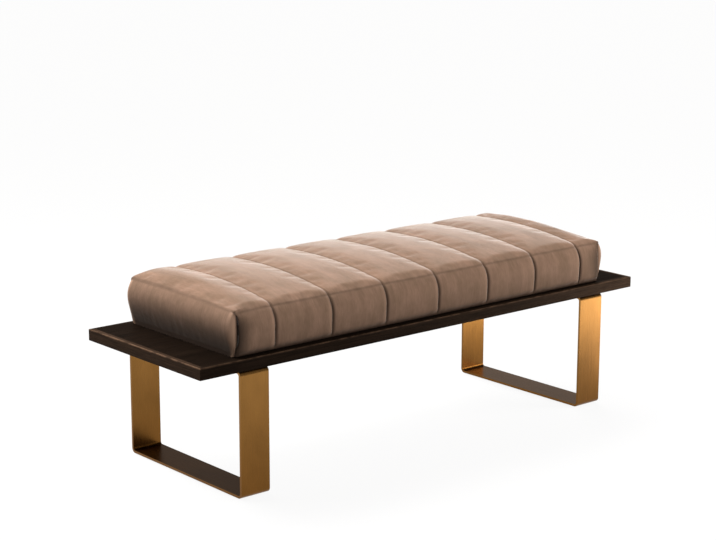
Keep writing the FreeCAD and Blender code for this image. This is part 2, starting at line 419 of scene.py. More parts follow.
def streak_group():
    """Streaks: noise on stretched coordinates, so that it runs along one direction."""
    name = "streaks"
    if name in bpy.data.node_groups:
        return bpy.data.node_groups[name]
    tree, given, result = new_group(
        name,
        [
            ("Vector", "NodeSocketVector", (0.0, 0.0, 0.0)),
            ("Stretch", "NodeSocketVector", (1.0, 1.0, 1.0)),
            ("Detail", "NodeSocketFloat", 3.0),
            ("Low", "NodeSocketFloat", 0.35),
            ("High", "NodeSocketFloat", 0.65),
        ],
        [("Mask", "NodeSocketFloat")],
    )
    stretched = add_node(
        tree,
        "ShaderNodeVectorMath",
        {0: given.outputs["Vector"], 1: given.outputs["Stretch"]},
        operation="MULTIPLY",
    )
    noise = add_node(
        tree,
        "ShaderNodeTexNoise",
        {
            "Vector": stretched.outputs[0],
            "Scale": 1.0,
            "Detail": given.outputs["Detail"],
            "Roughness": 0.6,
        },
    )
    mask = add_range(tree, noise.outputs["Fac"], given.outputs["Low"], given.outputs["High"])
    tree.links.new(mask, result.inputs["Mask"])
    return tree


def add_streaks(tree, place, stretch, detail, low, high):
    """The mask of the streak group, with its own stretch and contrast."""
    inputs = {"Vector": place, "Stretch": stretch, "Detail": detail, "Low": low, "High": high}
    return use_group(tree, streak_group(), inputs)


def edge_wear_and_highlight_group():
    """Lighter top edges of a board, from wear and as a painted highlight along the arris: near the top,
    the larger of the nearness to an end and to a side.
    """
    name = "worn_edges"
    if name in bpy.data.node_groups:
        return bpy.data.node_groups[name]
    tree, given, result = new_group(
        name,
        [
            ("Vector", "NodeSocketVector", (0.0, 0.0, 0.0)),
            ("Half Length", "NodeSocketFloat", 1.0),
            ("Half Depth", "NodeSocketFloat", 1.0),
            ("Top", "NodeSocketFloat", 1.0),
            ("Width", "NodeSocketFloat", 0.002),
            ("Side Share", "NodeSocketFloat", 0.4),
        ],
        [("Mask", "NodeSocketFloat")],
    )
    place = add_node(tree, "ShaderNodeSeparateXYZ", {0: given.outputs["Vector"]})
    width = given.outputs["Width"]
    along = add_math(tree, "ABSOLUTE", place.outputs["X"])
    across = add_math(tree, "ABSOLUTE", place.outputs["Y"])
    to_end = add_math(tree, "SUBTRACT", given.outputs["Half Length"], along)
    to_side = add_math(tree, "SUBTRACT", given.outputs["Half Depth"], across)
    to_top = add_math(tree, "SUBTRACT", given.outputs["Top"], place.outputs["Z"])
    end = add_range(tree, to_end, width, 0.0)
    side = add_math(tree, "MULTIPLY", add_range(tree, to_side, width, 0.0), given.outputs["Side Share"])
    nearest = add_math(tree, "MAXIMUM", end, side)
    edge = add_math(tree, "MULTIPLY", nearest, add_range(tree, to_top, width, 0.0))
    inputs = {"Vector": given.outputs["Vector"], "Scale": 45.0, "Detail": 4.0}
    scuffs = add_node(tree, "ShaderNodeTexNoise", inputs).outputs["Fac"]
    strength = add_range(tree, scuffs, low=0.35, high=0.6, new_low=0.25, new_high=1.3)
    broken = add_math(tree, "MULTIPLY", edge, strength)
    tree.links.new(add_math(tree, "MINIMUM", broken, 1.0), result.inputs["Mask"])
    return tree


def new_material(name, inputs):
    """A material with a Principled shader and its inputs; gives the material, its tree, the shader."""
    material = bpy.data.materials.new(name)
    material.use_nodes = True
    tree = material.node_tree
    tree.nodes.clear()
    shader = add_node(tree, "ShaderNodeBsdfPrincipled", inputs)
    add_node(tree, "ShaderNodeOutputMaterial", {"Surface": shader.outputs[0]})
    return material, tree, shader


def add_bump(tree, shader, height, distance, strength):
    """A Bump node on the shader's Normal."""
    inputs = {"Height": height, "Distance": distance, "Strength": strength}
    bump = add_node(tree, "ShaderNodeBump", inputs)
    tree.links.new(bump.outputs[0], shader.inputs["Normal"])


def vary_roughness(tree, shader, mask, low, high):
    """A roughness that runs from low to high with a mask."""
    roughness = add_range(tree, mask, 0.0, 1.0, low, high)
    tree.links.new(roughness, shader.inputs["Roughness"])


def cover_material(name, cover, sheen):
    """Napped fabric: brushed streaks and mottling over the taupe, with painted highlights on the ridges
    and painted shade in the seams, folds and at the foot.
    """
    inputs = {
        "Roughness": 0.9,
        "Specular IOR Level": 0.2,
        "Sheen Weight": sheen,
        "Sheen Roughness": 0.26,
        "Sheen Tint": (1.0, 0.97, 0.94, 1.0),
    }
    material, tree, shader = new_material(name, inputs)
    place = add_node(tree, "ShaderNodeUVMap", uv_map="cloth").outputs["UV"]
    streaks = add_streaks(tree, place, stretch=(75.0, 7.0, 1.0), detail=4.0, low=0.2, high=0.8)
    hand = add_streaks(tree, place, stretch=(17.0, 12.0, 1.0), detail=3.0, low=0.3, high=0.7)
    brush = add_streaks(tree, place, stretch=(330.0, 60.0, 1.0), detail=3.0, low=0.25, high=0.75)
    fibre = add_streaks(tree, place, stretch=(2200.0, 900.0, 1.0), detail=2.0, low=0.2, high=0.8)
    nap = add_mix(tree, streaks, colour(cover, 0.84), colour(cover, 1.12))
    mottled = add_tint(tree, nap, hand, low=(0.81, 0.80, 0.76), high=(1.13, 1.09, 1.09))
    stroked = add_tint(tree, mottled, brush, low=(0.86, 0.86, 0.85), high=(1.12, 1.12, 1.12))
    brushed = add_tint(tree, stroked, fibre, low=(0.92, 0.92, 0.92), high=(1.05, 1.05, 1.05))
    # Painted highlight on the ridges and lobes, then painted shade in the seams, corner folds, edge
    # creases and at the foot
    ridge = add_node(tree, "ShaderNodeAttribute", attribute_name="painted_ridge_highlight").outputs["Fac"]
    seam = add_node(tree, "ShaderNodeAttribute", attribute_name="painted_shade").outputs["Fac"]
    lightened = add_mix(tree, ridge, brushed, colour(cover, 1.7))
    shaded = add_mix(tree, seam, lightened, colour(cover, 0.12))
    tree.links.new(shaded, shader.inputs["Base Color"])
    relief = add_math(tree, "ADD", fibre, add_math(tree, "MULTIPLY", streaks, 1.5))
    add_bump(tree, shader, relief, distance=0.0002, strength=0.35)
    return material


def wood_material(name, colours, along, tone, fade=1.0):
    """Dark stain over open grain that runs along one axis, lighter on the platform's top edges from wear
    and from a painted highlight along the arris.

    The tone is that of the left end, and each copy of the stain is painted lighter or darker by it, as
    painted light and shade. Fade is how much lighter the right end is, a painted light that grows
    towards that end.
    """
    material, tree, shader = new_material(name, {"Roughness": 0.6, "Specular IOR Level": 0.02})
    place = add_node(tree, "ShaderNodeTexCoord").outputs["Object"]
    fine = [700.0, 700.0, 700.0]
    fine[along] = 14.0
    broad = [60.0, 60.0, 60.0]
    broad[along] = 2.2
    pores = add_streaks(tree, place, stretch=fine, detail=3.0, low=0.42, high=0.62)
    figure = add_streaks(tree, place, stretch=broad, detail=4.0, low=0.3, high=0.7)
    edges = use_group(
        tree,
        edge_wear_and_highlight_group(),
        {
            "Vector": place,
            "Half Length": PLATFORM_HIGH[0],
            "Half Depth": PLATFORM_HIGH[1],
            "Top": PLATFORM_HIGH[2],
            "Width": 0.004,
        },
    )
    dark = colour(colours.wood, 0.65 * tone)
    light = colour(colours.wood, 1.5 * tone)
    grain = add_mix(tree, figure, dark, light)
    pored = add_mix(tree, pores, grain, colour(colours.wood, 0.5 * tone))
    x = add_node(tree, "ShaderNodeSeparateXYZ", {0: place}).outputs["X"]
    # Painted light: the stain grows lighter towards the right end
    right_light_ramp = add_math(tree, "POWER", add_range(tree, x, -PLATFORM_HIGH[0], PLATFORM_HIGH[0]), 3.0)
    stained = add_tint(tree, pored, right_light_ramp, low=(1.0, 1.0, 1.0), high=(fade, fade, fade))
    lightened = add_mix(tree, edges, stained, colour(colours.wood, 9.0))
    tree.links.new(lightened, shader.inputs["Base Color"])
    vary_roughness(tree, shader, figure, low=0.5, high=0.66)
    add_bump(tree, shader, pores, distance=-0.0002, strength=0.5)
    return material


def brass_material(colours):
    """Satin brass, brushed along the bar, a little darker in patches, and darker towards the floor as
    painted shade for the dim reflections there.
    """
    material, tree, shader = new_material("satin_brass", {"Roughness": 0.3, "Metallic": 1.0})
    place = add_node(tree, "ShaderNodeTexCoord").outputs["Object"]
    brushing = add_streaks(tree, place, stretch=(1400.0, 7.0, 7.0), detail=3.0, low=0.25, high=0.75)
    patches = add_streaks(tree, place, stretch=(14.0, 9.0, 9.0), detail=3.0, low=0.3, high=0.7)
    tone = add_mix(tree, patches, colour(colours.brass, 0.86), colour(colours.brass, 1.06))
    brushed = add_tint(tree, tone, brushing, low=(0.93, 0.93, 0.93), high=(1.05, 1.05, 1.05))
    # Painted shade: the brass darkens towards the floor, for the darker floor that the legs mirror low
    # down
    height = add_node(tree, "ShaderNodeSeparateXYZ", {0: place}).outputs["Z"]
    floor_shade_ramp = add_range(tree, height, PLATFORM_LOW[2], 0.0)
    floor_shaded = add_mix(tree, floor_shade_ramp, brushed, colour((0.55, 0.48, 0.38)), "MULTIPLY")
    tree.links.new(floor_shaded, shader.inputs["Base Color"])
    vary_roughness(tree, shader, brushing, low=0.24, high=0.36)
    add_bump(tree, shader, brushing, distance=0.00004, strength=0.3)
    return material


def felt_material(colours):
    """Pressed felt: matted fibres of two tones."""
    material, tree, shader = new_material("pressed_felt", {"Roughness": 0.95, "Sheen Weight": 0.2})
    place = add_node(tree, "ShaderNodeTexCoord").outputs["Object"]
    fibres = add_streaks(tree, place, stretch=(900.0, 900.0, 900.0), detail=4.0, low=0.3, high=0.7)
    tone = add_mix(tree, fibres, colour(colours.felt, 0.6), colour(colours.felt, 1.5))
    tree.links.new(tone, shader.inputs["Base Color"])
    add_bump(tree, shader, fibres, distance=0.0004, strength=0.6)
    return material


def steel_material(colours):
    """Plain turned steel with fine lines round the heads."""
    material, tree, shader = new_material("turned_steel", {"Roughness": 0.35, "Metallic": 1.0})
    place = add_node(tree, "ShaderNodeTexCoord").outputs["Object"]
    lines = add_streaks(tree, place, stretch=(500.0, 500.0, 2500.0), detail=2.0, low=0.3, high=0.7)
    tone = add_mix(tree, lines, colour(colours.steel, 0.8), colour(colours.steel, 1.1))
    tree.links.new(tone, shader.inputs["Base Color"])
    vary_roughness(tree, shader, lines, low=0.28, high=0.42)
    return material


def plywood_material(colours):
    """Birch plywood: long grain on the faces and thin plies on the edges."""
    material, tree, shader = new_material("birch_plywood", {"Roughness": 0.65})
    place = add_node(tree, "ShaderNodeTexCoord").outputs["Object"]
    plies = add_streaks(tree, place, stretch=(4.0, 60.0, 700.0), detail=3.0, low=0.3, high=0.7)
    tone = add_mix(tree, plies, colour(colours.plywood, 0.7), colour(colours.plywood, 1.1))
    tree.links.new(tone, shader.inputs["Base Color"])
    add_bump(tree, shader, plies, distance=0.0002, strength=0.3)
    return material


def ramp(distance, reach, power):
    """A rounded rise from 0 at a seam to 1 at reach: a quarter of a superellipse of that power."""
    share = np.clip(distance / reach, 0.0, 1.0)
    return (1.0 - (1.0 - share) ** power) ** (1.0 / power)


def bell(distance, width):
    """A bell curve that falls from 1 at a distance of 0."""
    return np.exp(-((distance / width) ** 2))


def crowded(cells, crowding):
    """Shares of a length, crowded at both ends: q - crowding * sin(2 pi q) / 2 pi."""
    share = np.linspace(0.0, 1.0, cells + 1)
    return share - crowding * np.sin(2 * np.pi * share) / (2 * np.pi)


def grid_quads(number):
    """Quads of a grid of point numbers, facing along the first direction crossed with the second."""
    quads = np.stack([number[:-1, :-1], number[1:, :-1], number[1:, 1:], number[:-1, 1:]], axis=-1)
    return quads.reshape(-1, 4)


def seam_places(end):
    """Places along X of both ends of the cover and of every channel seam between them."""
    seams = [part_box(name)[0].x for name in CHANNELS]
    return np.array([-end, *seams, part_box(CHANNELS[-1])[1].x, end])


class CoverLoop:
    """One outline of the cover, from the front foot over the top to the rear foot.

    A side is a quarter circle at its foot, an upright that leans out as a parabola, and a quarter
    ellipse as its shoulder. A parabola lies over the whole top, and the shoulders' height changes
    evenly from front to rear. out_y and out_z are the outline's normal, which grows from nothing at
    the foot, and border is 1 where the normal is level.
    """

    def __init__(self, sizes, shoulder_depth, shoulder_height, crown_rise, sag):
        half_depth = PLATFORM_HIGH[1] - sizes.side_setback
        inward, upright, lift = self.side(sizes, shoulder_depth)
        seam = np.searchsorted(lift, math.sin(sizes.edge_seam_angle))
        y = np.concatenate([inward - half_depth, (half_depth - inward)[::-1]])
        lift = np.concatenate([lift, lift[::-1]])
        share = y / half_depth
        z = np.concatenate([upright, upright[::-1]])
        z = z + (shoulder_height + sag * share) * lift + crown_rise * (1 - share ** 2) * lift
        path = np.concatenate([[0.0], np.cumsum(np.hypot(np.diff(y), np.diff(z)))])
        front_seam = path[seam]
        rear_seam = path[len(path) - 1 - seam]
        up = crowded(sizes.side_cells, CROWDING["side"]) * front_seam
        over = front_seam + crowded(sizes.top_cells, CROWDING["top"])[1:-1] * (rear_seam - front_seam)
        down = rear_seam + crowded(sizes.side_cells, CROWDING["side"]) * (path[-1] - rear_seam)
        self.path = np.concatenate([up, over, down])
        self.y = np.interp(self.path, path, y)
        self.z = np.interp(self.path, path, z)
        along_y = np.gradient(self.y, self.path)
        along_z = np.gradient(self.z, self.path)
        length = np.hypot(along_y, along_z)
        free = np.clip(self.z / sizes.foot_rise, 0.0, 1.0)
        self.out_y = -free * along_z / length
        self.out_z = free * along_y / length
        self.border = (along_z / length) ** 2
        self.to_edge = np.minimum(np.abs(self.path - front_seam), np.abs(self.path - rear_seam))

    def side(self, sizes, shoulder_depth):
        """A side from its foot to the top's middle: the way in, the height, the share of the lift."""
        radius = sizes.tuck_radius
        steps = OUTLINE_STEPS
        turn = np.linspace(0.0, np.pi / 2, steps + 1)
        climb = np.linspace(0.0, 1.0, steps + 1)[1:]
        half_depth = PLATFORM_HIGH[1] - sizes.side_setback
        inward = np.concatenate([
            sizes.foot_draw_in + radius * (1 - np.sin(turn)),
            sizes.foot_draw_in * (1 - climb) ** 2,
            shoulder_depth * (1 - np.cos(turn[1:])),
            shoulder_depth + (half_depth - shoulder_depth) * climb[:-1],
        ])
        upright = np.concatenate([
            radius * (1 - np.cos(turn)),
            radius + (sizes.shoulder_start - radius) * climb,
            np.full(2 * steps - 1, sizes.shoulder_start),
        ])
        lift = np.concatenate([np.zeros(2 * steps + 1), np.sin(turn[1:]), np.ones(steps - 1)])
        return inward, upright, lift


class QuiltedCover:
    """The cover as one closed surface: channels along X, a panel on each end and a flat base.

    Along X a channel bows out as a parabola between its seams. Its edges are rounded as parabolas on
    the top and as quarter ellipses on the border. Over a share of an end channel the outline falls to
    that of the end seam as a quarter of a superellipse. An end panel is spanned between the four
    sides of its seam, domed as a parabola of a power of the height, and rounded over at its front and
    rear as quarter ellipses. Last, the four corner seams are pulled in, and the pull fades
    exponentially around them.
    """

    def __init__(self, sizes):
        self.sizes = sizes
        self.loop = CoverLoop(
            sizes,
            sizes.shoulder_depth,
            sizes.shoulder_height,
            sizes.crown_rise,
            sizes.front_sag,
        )
        self.end_loop = CoverLoop(
            sizes,
            sizes.end_shoulder_depth,
            sizes.end_shoulder_height,
            sizes.end_crown_rise,
            sizes.end_sag,
        )
        self.lines = seam_places(PLATFORM_HIGH[0] - sizes.end_setback)
        self.place_stations()
        tube = self.tube_points()
        number = np.arange(tube[..., 0].size).reshape(tube.shape[:2])
        left = self.panel(tube[0], number[0], number.size, -1)
        right = self.panel(tube[-1], number[-1], left["number"].max() + 1, 1)
        points = np.concatenate([tube.reshape(-1, 3), left["points"], right["points"]])
        pull = np.concatenate([self.corner_pull(tube).ravel(), left["pull"], right["pull"]])
        self.points = self.pulled_in(points, pull)
        self.quads = np.concatenate([grid_quads(number), left["quads"], right["quads"]])
        self.base = np.concatenate(
            [number[::-1, 0], left["number"][0, 1:-1], number[:, -1], right["number"][0, -2:0:-1]]
        )
        self.finish = np.append(self.finishes(number), PRESSED_AND_SHADED)
        self.painted_shade = np.concatenate([self.tube_painted_shade().ravel(), left["near"], right["near"]])
        self.hold = np.concatenate([self.tube_hold().ravel(), left["hold"], right["hold"]])
        # Painted highlight on the ridges beside the border's seams
        tube_ridge_highlights = BORDER_RIDGE_HIGHLIGHT * self.ridge(self.to_seam)[:, None] * self.loop.border[None, :]
        self.ridge_highlights = np.concatenate([tube_ridge_highlights.ravel(), left["ridge"], right["ridge"]])
        flat = np.stack(np.broadcast_arrays(self.x[:, None], self.loop.path[None, :]), axis=-1)
        self.cloth_places = np.concatenate([flat.reshape(-1, 2), left["cloth"], right["cloth"]])

    def place_stations(self):
        """Stations along X, crowded at the seams, and how far each is from a seam and from the end."""
        shares = crowded(self.sizes.span_cells, CROWDING["span"])[:-1]
        spans = np.diff(self.lines)
        inner = self.lines[:-1, None] + spans[:, None] * shares[None, :]
        self.x = np.append(inner.ravel(), self.lines[-1])
        span = np.clip(np.searchsorted(self.lines, self.x, side="right") - 1, 0, len(spans) - 1)
        self.to_seam = np.minimum(self.x - self.lines[span], self.lines[span + 1] - self.x)
        self.span = spans[span]
        self.to_end = self.lines[-1] - np.abs(self.x)
        self.to_channel = np.abs(self.x[:, None] - self.lines[None, 1:-1]).min(axis=1)

    def tube_points(self):
        """Points of the channels, as a grid of stations by places round the loop."""
        sizes = self.sizes
        loop = self.loop
        bow = sizes.channel_swell * (1 - (1 - 2 * self.to_seam / self.span) ** 2)
        near = np.clip(self.to_channel / sizes.rounding_reach, 0.0, 1.0)
        on_top = (1 - (1 - near) ** 2) * ramp(self.to_end, sizes.panel_rounding, ELLIPSE)
        on_border = ramp(near, 1.0, ELLIPSE) * ramp(self.to_end, sizes.corner_reach, ELLIPSE)
        rounding = on_top[:, None] + (on_border - on_top)[:, None] * loop.border[None, :]
        depth = sizes.top_rounding + (sizes.border_rounding - sizes.top_rounding) * loop.border
        crease = sizes.crease_depth * bell(loop.to_edge, sizes.crease_width)
        out = bow[:, None] + rounding * depth[None, :] - crease[None, :]
        spans = np.diff(self.lines)
        end_channel = np.where(self.x < 0, spans[0], spans[-1])
        fall = 1 - ramp(self.to_end, sizes.end_roll * end_channel, END_FALL)[:, None]
        points = np.empty((len(self.x), len(loop.y), 3))
        points[..., 0] = self.x[:, None]
        points[..., 1] = loop.y + fall * (self.end_loop.y - loop.y) + out * loop.out_y
        points[..., 2] = loop.z + fall * (self.end_loop.z - loop.z) + out * loop.out_z
        points[..., 2] += PLATFORM_HIGH[2] + sizes.base_gap
        return points

    def finishes(self, number):
        """The material of each quad: nap, an end panel's nap, or without sheen beside a channel seam,
        where stitching presses the nap, and at the foot, where it paints the shade.
        """
        sizes = self.sizes
        round_loop = number.shape[1] - 1
        finish = np.full(len(self.quads), END_NAP)
        beside = np.maximum(self.to_channel[1:], self.to_channel[:-1]) < sizes.stitch_width
        finish[: len(beside) * round_loop] = np.repeat(np.where(beside, PRESSED_AND_SHADED, NAPPED), round_loop)
        highest = self.points[self.quads, 2].max(axis=1)
        pressed = np.where(finish == END_NAP, sizes.panel_tuck, sizes.tuck_height)
        finish[highest < PLATFORM_HIGH[2] + pressed] = PRESSED_AND_SHADED
        return finish

    def tube_painted_shade(self):
        """How much painted shade a point of the channels gets, from 0 to 1: in the seams, corner folds
        and edge creases and near the foot.
        """
        sizes = self.sizes
        depth = PAINTED_SHADE_DEPTH["top"] + (PAINTED_SHADE_DEPTH["border"] - PAINTED_SHADE_DEPTH["top"]) * self.loop.border
        width = sizes.seam_width * (1 + BORDER_SEAM_GAIN * self.loop.border)
        lines = bell(self.to_seam[:, None], width[None, :]) * depth[None, :]
        fold = sizes.seam_width + sizes.fold_shade * self.closing(self.loop.z, sizes.fold_fade)
        corner = bell(self.to_end[:, None], fold[None, :]) * depth[None, :]
        lines = np.maximum(lines, corner)
        edges = PAINTED_SHADE_DEPTH["edge"] * bell(self.loop.to_edge, sizes.seam_width)
        tuck = self.painted_foot_shade(self.loop.z, PAINTED_SHADE_DEPTH["low"])
        return np.maximum(lines, np.maximum(edges, tuck)[None, :])

    def painted_foot_shade(self, height, low):
        """How much painted shade the cover gets near its foot: a narrow bell above the platform and a
        wide faint one.
        """
        narrow = PAINTED_SHADE_DEPTH["foot"] * bell(height, self.sizes.foot_shade)
        wide = low * bell(height, self.sizes.low_shade)
        return np.maximum(narrow, wide)

    def grip(self, height):
        """How tightly a corner seam is pulled at a height: less at its foot, and not at its top."""
        sizes = self.sizes
        low = FOOT_GRIP + (1 - FOOT_GRIP) * np.clip(height / sizes.pinch_foot - 1, 0.0, 1.0)
        return low * self.closing(height, sizes.pinch_fade)

    def closing(self, height, fade):
        """How far a corner fold is open at a height: a smooth step from 1 to 0 at its top."""
        share = np.clip((self.sizes.pinch_top - height) / fade, 0.0, 1.0)
        return share * share * (3 - 2 * share)

    def ridge(self, to_seam):
        """How close a point is to the ridge beside a seam, from 0 to 1, which masks the painted
        highlight there.
        """
        return bell(to_seam - self.sizes.ridge_place, self.sizes.ridge_width)

    def tube_hold(self):
        """How firmly each point of the channels is held: fully by seams and board, else by the foam."""
        on_line = (self.to_seam < TOUCH)[:, None]
        on_edge = (self.loop.to_edge < TOUCH)[None, :]
        at_foot = (self.loop.z < self.sizes.tuck_radius)[None, :]
        return np.where(on_line | on_edge | at_foot, 1.0, self.sizes.foam_grip)

    def panel(self, rim, rim_number, first_number, side):
        """An end panel, spanned inside a rim of the channels: its quads and what belongs to its points.

        u runs from the front to the rear and v from the foot to the top. Within a reach of a corner
        seam the panel turns through a quarter ellipse to face the front or the rear, and over the last
        few millimetres it drops to the seam. The turn fades at the top and the foot as a fourth power.
        """
        sizes = self.sizes
        cells = sizes.side_cells
        front = rim[: cells + 1][:, None]
        rear = rim[: -cells - 2 : -1][:, None]
        top = rim[cells:-cells][None, :]
        u = (top[..., 1:2] - top[:, :1, 1:2]) / (top[:, -1:, 1:2] - top[:, :1, 1:2])
        v = (front[..., 2:3] - front[:1, :, 2:3]) / (front[-1:, :, 2:3] - front[:1, :, 2:3])
        foot = (1 - u) * rim[0] + u * rim[-1]
        corners = (1 - v) * foot + v * ((1 - u) * front[-1] + u * rear[-1])
        points = (1 - v) * foot + v * top + (1 - u) * front + u * rear - corners
        to_side = np.minimum(points[..., 1] - front[..., 1], rear[..., 1] - points[..., 1])
        to_top = top[..., 2] - points[..., 2]
        to_foot = points[..., 2] - foot[..., 2]
        height = np.clip(to_foot / (to_foot + to_top), 0.0, 1.0)
        belly = height ** sizes.dome_lean
        dome = 4 * belly * (1 - belly)
        full = 1 - (2 * height - 1) ** 4
        reach = sizes.lobe_reach
        turn = np.clip((to_side - sizes.lobe_wall) / (reach - sizes.lobe_wall), 0.0, 1.0) * np.pi / 2
        swell = np.minimum(to_side, reach) - reach + (reach + sizes.lobe_swell) * np.cos(turn)
        swell *= full * np.clip(to_side / sizes.lobe_wall, 0.0, 1.0)
        swell *= np.where(points[..., 1] < 0, 1.0, sizes.rear_lobe)
        points[..., 0] += side * sizes.panel_dome * dome * np.sin(turn)
        points[..., 1] += np.sign(points[..., 1]) * swell
        number = np.empty(points.shape[:2], dtype=int)
        number[:, 0] = rim_number[: cells + 1]
        number[:, -1] = rim_number[: -cells - 2 : -1]
        number[-1] = rim_number[cells:-cells]
        free = (slice(0, -1), slice(1, -1))
        number[free] = first_number + np.arange(number[free].size).reshape(number[free].shape)
        # Painted shade along the end seam, the corner seams and the foot; the foot's shade is partly
        # lifted off the lobes
        seam = PAINTED_SHADE_DEPTH["end"] * bell(to_top, sizes.seam_width)
        corner = PAINTED_SHADE_DEPTH["border"] * bell(to_side, sizes.seam_width)
        tuck = self.painted_foot_shade(to_foot, PAINTED_SHADE_DEPTH["end_low"])
        tuck = tuck * (1 - LOBE_HIGHLIGHT * self.ridge(to_side))
        near = np.maximum(np.maximum(seam, corner), tuck)[free]
        hold = np.full(near.shape, sizes.panel_grip)
        hold[0] = 1.0
        return {
            "points": points[free].reshape(-1, 3),
            "quads": grid_quads(number)[:, ::-side],
            "number": number,
            "near": near.ravel(),
            "hold": hold.ravel(),
            "ridge": self.ridge(to_side)[free].ravel(),
            "pull": np.exp(-to_side / sizes.panel_pinch)[free].ravel(),
            "cloth": points[free][..., 1:].reshape(-1, 2),
        }

    def corner_pull(self, tube):
        """How much of a corner seam's pull reaches each point of the channels."""
        to_side = np.maximum(PLATFORM_HIGH[1] - self.sizes.side_setback - np.abs(tube[..., 1]), 0.0)
        return np.exp(-np.hypot(self.to_end[:, None], to_side) / self.sizes.pinch_reach)

    def pulled_in(self, points, share):
        """The points after the corner seams have been pulled in, each by its share of the pull."""
        sizes = self.sizes
        height = points[:, 2] - PLATFORM_HIGH[2]
        pull = sizes.corner_pinch * self.grip(height) * share
        moved = points.copy()
        moved[:, :2] -= np.sign(points[:, :2]) * pull[:, None] * (1.0, sizes.pinch_lean)
        return moved


def mesh_piece(name, points, quads, material, base=()):
    """A smooth-shaded mesh object at the origin, from arrays of points and quads and one base face."""
    corners = np.concatenate([quads.ravel(), np.asarray(base, dtype=int)])
    starts = np.arange(0, quads.size, 4)
    if len(base):
        starts = np.append(starts, quads.size)
    mesh = bpy.data.meshes.new(name)
    mesh.vertices.add(len(points))
    mesh.vertices.foreach_set("co", points.astype(np.float32).ravel())
    mesh.loops.add(len(corners))
    mesh.loops.foreach_set("vertex_index", corners.astype(np.int32))
    mesh.polygons.add(len(starts))
    mesh.polygons.foreach_set("loop_start", starts.astype(np.int32))
    mesh.polygons.foreach_set("use_smooth", np.ones(len(starts), dtype=bool))
    mesh.update(calc_edges=True)
    mesh.validate()
    if material:
        mesh.materials.append(material)
    piece = bpy.data.objects.new(name, mesh)
    bpy.context.scene.collection.objects.link(piece)
    return piece


def settled_points(cover, sizes):
    """Fills the cover with air while its seams hold it, and gives the points where the cloth settles.

    The cloth is a little longer than the shape, so it puckers at the seams. Points away from them are
    held softly by the foam, and none moves further than the limit.
    """
    form = mesh_piece("cloth_form", cover.points, cover.quads, None)
    grip = form.vertex_groups.new(name="grip")
    for weight in np.unique(cover.hold):
        grip.add(np.flatnonzero(cover.hold == weight).tolist(), weight, "REPLACE")
    cloth = form.modifiers.new("cloth", "CLOTH")
    cloth.collision_settings.use_collision = False
    settings = cloth.settings
    settings.quality = 6
    settings.mass = 0.2
    settings.tension_stiffness = 20.0
    settings.compression_stiffness = 20.0
    settings.shear_stiffness = 8.0
    settings.bending_stiffness = sizes.cloth_bending
    settings.vertex_group_mass = grip.name
    settings.pin_stiffness = 1.0
    settings.shrink_min = -sizes.spare_cloth
    settings.shrink_max = -sizes.spare_cloth
    settings.use_pressure = True
    settings.uniform_pressure_force = sizes.air_pressure
    settings.effector_weights.gravity = 0.0
    scene = bpy.context.scene
    for step in range(1, LAST_FRAME + 1):
        scene.frame_set(step)
    filled = form.evaluated_get(bpy.context.evaluated_depsgraph_get())
    settled = np.empty(cover.points.size, dtype=np.float32)
    filled.data.vertices.foreach_get("co", settled)
    move = settled.reshape(-1, 3) - cover.points
    length = np.linalg.norm(move, axis=1, keepdims=True)
    move *= np.minimum(1.0, sizes.cloth_limit / np.maximum(length, TOUCH))
    mesh = form.data
    bpy.data.objects.remove(form)
    bpy.data.meshes.remove(mesh)
    scene.frame_set(1)
    return cover.points + move


def finish_nodes(names, material):
    """Gives CAD nodes a material."""
    for name in names:
        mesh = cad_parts[name].data
        mesh.materials.clear()
        mesh.materials.append(material)


class FOOTSTOOL_OT_quilted_seat(bpy.types.Operator):
    """Make the quilted seat cover"""

    bl_idname = "footstool.quilted_seat"
    bl_label = "Quilted seat"

    def execute(self, context):
        scene = context.scene
        sizes = scene.footstool_seat
        cover = QuiltedCover(sizes)
        points = settled_points(cover, sizes)
        tone = tuple(scene.footstool_colours.cover)
        napped = cover_material("napped_cover", tone, sheen=0.9)
        piece = mesh_piece("quilted_cover", points, cover.quads, napped, cover.base)
        mesh = piece.data
        mesh.materials.append(cover_material("pressed_and_shaded_cover", tone, sheen=0.0))
        mesh.materials.append(cover_material("end_cover", tone, sheen=0.45))
        mesh.polygons.foreach_set("material_index", cover.finish.astype(np.int32))
        for label, values in (("painted_shade", cover.painted_shade), ("painted_ridge_highlight", cover.ridge_highlights)):
            attribute = mesh.attributes.new(label, "FLOAT", "POINT")
            attribute.data.foreach_set("value", values.astype(np.float32))
        cloth = mesh.uv_layers.new(name="cloth")
        corners = np.concatenate([cover.quads.ravel(), cover.base])
        cloth.data.foreach_set("uv", cover.cloth_places[corners].astype(np.float32).ravel())
        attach(piece, "root")
        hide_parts(*CHANNELS, *END_CHANNELS, *END_PANELS, *STUFFING)
        return {"FINISHED"}


class FOOTSTOOL_OT_platform(bpy.types.Operator):
    """Finish the platform in dark stained wood"""

    bl_idname = "footstool.platform"
    bl_label = "Wooden platform"

    def execute(self, context):
        colours = context.scene.footstool_colours
        # Lit and shaded copies of one stain: the panel's low tone paints the shade under the cushion,
        # the end lippings' high tone paints light on the end faces, and the long edges' fade paints
        # light towards the right end
        panel = wood_material("stained_panel", colours, along=0, tone=0.6)
        long_edge = wood_material("stained_long_edge", colours, along=0, tone=0.8, fade=3.4)
        cross_edge = wood_material("stained_cross_edge", colours, along=1, tone=2.5)
        finish_nodes(["platform_panel"], panel)
        finish_nodes(LONG_EDGES, long_edge)
        finish_nodes(CROSS_EDGES, cross_edge)
        return {"FINISHED"}


class FOOTSTOOL_OT_legs(bpy.types.Operator):
    """Finish the sled legs in satin brass and their glides in felt"""

    bl_idname = "footstool.legs"
    bl_label = "Sled legs"

    def execute(self, context):
        colours = context.scene.footstool_colours
        finish_nodes(LEGS, brass_material(colours))
        finish_nodes(GLIDES, felt_material(colours))
        return {"FINISHED"}


